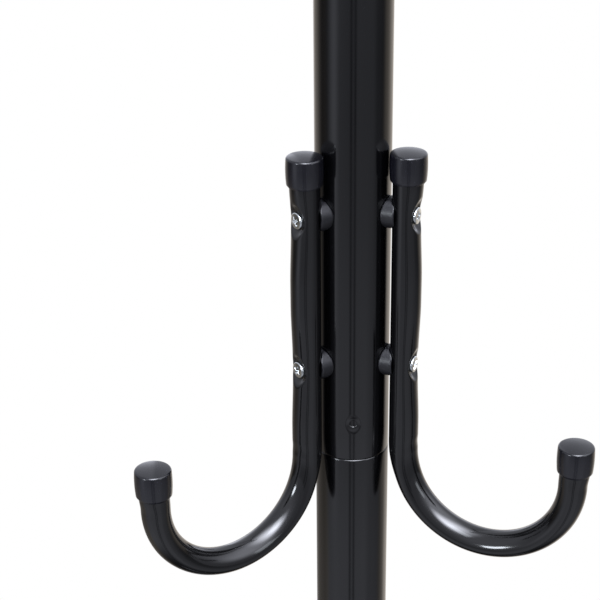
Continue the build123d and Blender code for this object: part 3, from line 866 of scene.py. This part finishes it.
# Pale floor paint: matt and white to the eye, with the object's shadow near it; in reflections it glows as a
# painted reflection whose level goes by angle and distance, with painted shade near the base and two painted
# dark stripes in front
def paleFloor():
    material, tree = newMaterial("paleFloorPaint")
    place = addNode(tree, "ShaderNodeTexCoord").outputs["Object"]
    away = addNode(tree, "ShaderNodeVectorMath", {"operation": "LENGTH"}, {0: place}).outputs["Value"]
    axes = addNode(tree, "ShaderNodeSeparateXYZ", None, {"Vector": place}).outputs
    near = roundRamp(tree, axes, studio["nearReflectionLevels"])
    far = roundRamp(tree, axes, studio["farReflectionLevels"])
    # painted reflection: two dark stripes in front, seen only in reflections
    paintedDarkStripes = roundRamp(tree, axes, studio["paintedDarkStripeLevels"])
    path = addNode(tree, "ShaderNodeLightPath").outputs
    mirrored = addNode(tree, "ShaderNodeMath", {"operation": "MAXIMUM"},
                       {0: path["Is Glossy Ray"], 1: path["Is Transmission Ray"]}).outputs["Value"]
    distance = addNode(tree, "ShaderNodeMapRange", {"interpolation_type": "SMOOTHSTEP",
                                                    "From Min": studio["nearFloor"],
                                                    "From Max": studio["farFloor"]}, {"Value": away})
    spread = addNode(tree, "ShaderNodeMix", {"data_type": "RGBA"},
                     {"Factor": distance.outputs["Result"], "A": near, "B": far})
    shaded = addNode(tree, "ShaderNodeMix", {"data_type": "RGBA", "blend_type": "MULTIPLY", "Factor": 1.0},
                     {"A": spread.outputs["Result"], "B": paintedDarkStripes})
    # painted shade: in reflections the floor near the base is dark
    paintedBaseShade = addNode(tree, "ShaderNodeMapRange", {"interpolation_type": "SMOOTHSTEP",
                                                 "From Min": studio["baseFloor"],
                                                 "From Max": studio["baseFade"],
                                                 "To Min": studio["baseShadeLevel"]}, {"Value": away})
    # painted reflection colour: bluish in front, warm at the sides
    tint = addNode(tree, "ShaderNodeMix", {"data_type": "RGBA", "A": linearColour(studio["frontTint"]),
                                           "B": linearColour(studio["warmTint"])},
                   {"Factor": roundRamp(tree, axes, studio["warmShare"])})
    tinted = addNode(tree, "ShaderNodeMix", {"data_type": "RGBA", "blend_type": "MULTIPLY", "Factor": 1.0},
                     {"A": shaded.outputs["Result"], "B": tint.outputs["Result"]})
    grain = addNode(tree, "ShaderNodeTexNoise",
                    {"Scale": perMillimetre(studio["grainSize"]), "Detail": studio["grainDetail"]},
                    {"Vector": place})
    tone = addNode(tree, "ShaderNodeMix", {"data_type": "RGBA", "A": linearColour(studio["floorTone"]),
                                           "B": linearColour(studio["floorGrain"])},
                   {"Factor": grain.outputs["Fac"]})
    paint = addNode(tree, "ShaderNodeBsdfDiffuse", None, {"Color": tone.outputs["Result"]})
    nearGlow = addNode(tree, "ShaderNodeEmission", {"Strength": studio["nearGlow"]})
    nearBy = addNode(tree, "ShaderNodeAddShader", None,
                     {0: paint.outputs["BSDF"], 1: nearGlow.outputs["Emission"]})
    farGlow = addNode(tree, "ShaderNodeEmission", {"Strength": studio["farGlow"]})
    farOff = addNode(tree, "ShaderNodeMapRange", {"interpolation_type": "SMOOTHSTEP",
                                                  "From Min": studio["shadeStart"],
                                                  "From Max": studio["shadeEnd"]}, {"Value": away})
    shown = addNode(tree, "ShaderNodeMixShader", None,
                    {"Fac": farOff.outputs["Result"], 1: nearBy.outputs["Shader"],
                     2: farGlow.outputs["Emission"]})
    eyed = addNode(tree, "ShaderNodeMixShader", None,
                   {"Fac": path["Is Camera Ray"], 1: paint.outputs["BSDF"], 2: shown.outputs["Shader"]})
    # painted reflection: in reflections the floor glows at these levels instead of being lit
    paintedReflectionGlow = addNode(tree, "ShaderNodeEmission", None,
                         {"Color": tinted.outputs["Result"], "Strength": paintedBaseShade.outputs["Result"]})
    mixed = addNode(tree, "ShaderNodeMixShader", None,
                    {"Fac": mirrored, 1: eyed.outputs["Shader"], 2: paintedReflectionGlow.outputs["Emission"]})
    addNode(tree, "ShaderNodeOutputMaterial", None, {"Surface": mixed.outputs["Shader"]})
    return material


floor.data.materials.append(paleFloor())


# white room to the eye; in reflections walls that are brightest low behind the object, and the soft glows
def studioWorld():
    world = bpy.data.worlds.new("studioWorld")
    world.use_nodes = True
    tree = world.node_tree
    tree.nodes.clear()
    way = addNode(tree, "ShaderNodeTexCoord").outputs["Generated"]
    axes = addNode(tree, "ShaderNodeSeparateXYZ", None, {"Vector": way}).outputs
    path = addNode(tree, "ShaderNodeLightPath").outputs
    rise = addNode(tree, "ShaderNodeMapRange", {"interpolation_type": "SMOOTHSTEP",
                                                "From Min": studio["wallFoot"],
                                                "From Max": studio["wallTop"]}, {"Value": axes["Z"]})
    walls = addNode(tree, "ShaderNodeMix", {"data_type": "FLOAT"},
                    {"Factor": rise.outputs["Result"], "A": roundRamp(tree, axes, studio["lowWallLevels"]),
                     "B": roundRamp(tree, axes, studio["highWallLevels"])})
    mirrored = walls.outputs["Result"]
    for glow in glows.values():
        turn = math.radians(glow["turn"])
        forward = addNode(tree, "ShaderNodeVectorMath", {"operation": "DOT_PRODUCT",
                                                         1: (math.sin(turn), -math.cos(turn), 0.0)}, {0: way})
        aside = addNode(tree, "ShaderNodeVectorMath", {"operation": "DOT_PRODUCT",
                                                       1: (math.cos(turn), math.sin(turn), 0.0)}, {0: way})
        width = addNode(tree, "ShaderNodeMath", {"operation": "ABSOLUTE"}, {0: aside.outputs["Value"]})
        product = None
        for source, span in ((width.outputs["Value"], glow["sideways"]), (axes["Z"], glow["upwards"]),
                             (forward.outputs["Value"], glow["forwards"])):
            fade = addNode(tree, "ShaderNodeMapRange", {"interpolation_type": "SMOOTHSTEP",
                                                        "From Min": span[0], "From Max": span[1]},
                           {"Value": source})
            if product is None:
                fade.inputs["To Max"].default_value = glow["level"]
                product = fade.outputs["Result"]
            else:
                product = addNode(tree, "ShaderNodeMath", {"operation": "MULTIPLY"},
                                  {0: product, 1: fade.outputs["Result"]}).outputs["Value"]
        mirrored = addNode(tree, "ShaderNodeMath", {"operation": "ADD"},
                           {0: mirrored, 1: product}).outputs["Value"]
    reflected = addNode(tree, "ShaderNodeMath", {"operation": "MAXIMUM"},
                        {0: path["Is Glossy Ray"], 1: path["Is Transmission Ray"]}).outputs["Value"]
    lit = addNode(tree, "ShaderNodeMix", {"data_type": "FLOAT", "A": studio["ambient"]},
                  {"Factor": reflected, "B": mirrored})
    level = addNode(tree, "ShaderNodeMix", {"data_type": "FLOAT", "B": 1.0},
                    {"Factor": path["Is Camera Ray"], "A": lit.outputs["Result"]})
    tint = addNode(tree, "ShaderNodeMix", {"data_type": "RGBA", "A": (1.0, 1.0, 1.0, 1.0),
                                           "B": linearColour(studio["frontTint"])}, {"Factor": reflected})
    sky = addNode(tree, "ShaderNodeBackground", None, {"Strength": level.outputs["Result"],
                                                       "Color": tint.outputs["Result"]})
    addNode(tree, "ShaderNodeOutputWorld", None, {"Surface": sky.outputs["Background"]})
    bpy.context.scene.world = world


studioWorld()

# soft boxes: the level is the brightness of each box's face
softBoxes = {
    "overCamera": dict(place=(-0.20, -0.85, 2.15), width=0.60, depth=0.40, level=4.0),
    "lowFrontLeft": dict(place=(-1.90, -1.50, 1.58), width=0.54, depth=0.48, level=22.0),
    "lowFrontRight": dict(place=(1.60, -1.85, 1.60), width=0.55, depth=0.80, level=3.0),
}
lampTint = linearColour("#eff6ff")
lampTarget = Vector((0.0, 0.0, 1.15))
for name, box in softBoxes.items():
    deselectAll()
    bpy.ops.object.light_add(type="AREA", location=box["place"])
    lamp = bpy.context.object
    lamp.name = name
    lamp.data.shape = "RECTANGLE"
    lamp.data.size = box["width"]
    lamp.data.size_y = box["depth"]
    lamp.data.energy = box["level"] * math.pi * box["width"] * box["depth"]
    lamp.data.color = lampTint[:3]
    lamp.rotation_euler = (lampTarget - lamp.location).to_track_quat("-Z", "Y").to_euler()
    lamp.visible_camera = False
print("studio lit")

# camera: azimuth round the pole from the front, heights from the upper seam, angles in degrees
shot = dict(azimuth=-6.94, distance=0.7649, rise=0.4400, yaw=-2.10, pitch=24.76, roll=-0.66,
            focalPixels=1578.2, imagePixels=600, sensorWidth=36.0, clipStart=0.01)
turn = math.radians(shot["azimuth"])
heading = math.radians(shot["yaw"] - shot["azimuth"])
pitch, roll = math.radians(shot["pitch"]), math.radians(shot["roll"])
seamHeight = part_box("pole_upper")[0].z
eye = Vector((math.sin(turn), -math.cos(turn), 0)) * shot["distance"]
eye.z = seamHeight + shot["rise"]
ahead = Vector((math.sin(heading) * math.cos(pitch), math.cos(heading) * math.cos(pitch), -math.sin(pitch)))
right = Vector((math.cos(heading), -math.sin(heading), 0))
up = right.cross(ahead)
rolledRight = right * math.cos(roll) + up * math.sin(roll)
rolledUp = up * math.cos(roll) - right * math.sin(roll)
deselectAll()
bpy.ops.object.camera_add(location=eye)
camera = bpy.context.object
camera.name = "photoCamera"
facing = Matrix((rolledRight, rolledUp, -ahead)).transposed().to_4x4()
camera.matrix_world = Matrix.Translation(eye) @ facing
camera.data.sensor_width = shot["sensorWidth"]
camera.data.lens = shot["focalPixels"] * shot["sensorWidth"] / shot["imagePixels"]
camera.data.clip_start = shot["clipStart"]
bpy.context.scene.camera = camera
bpy.context.scene.view_settings.view_transform = "Standard"
print("camera set")
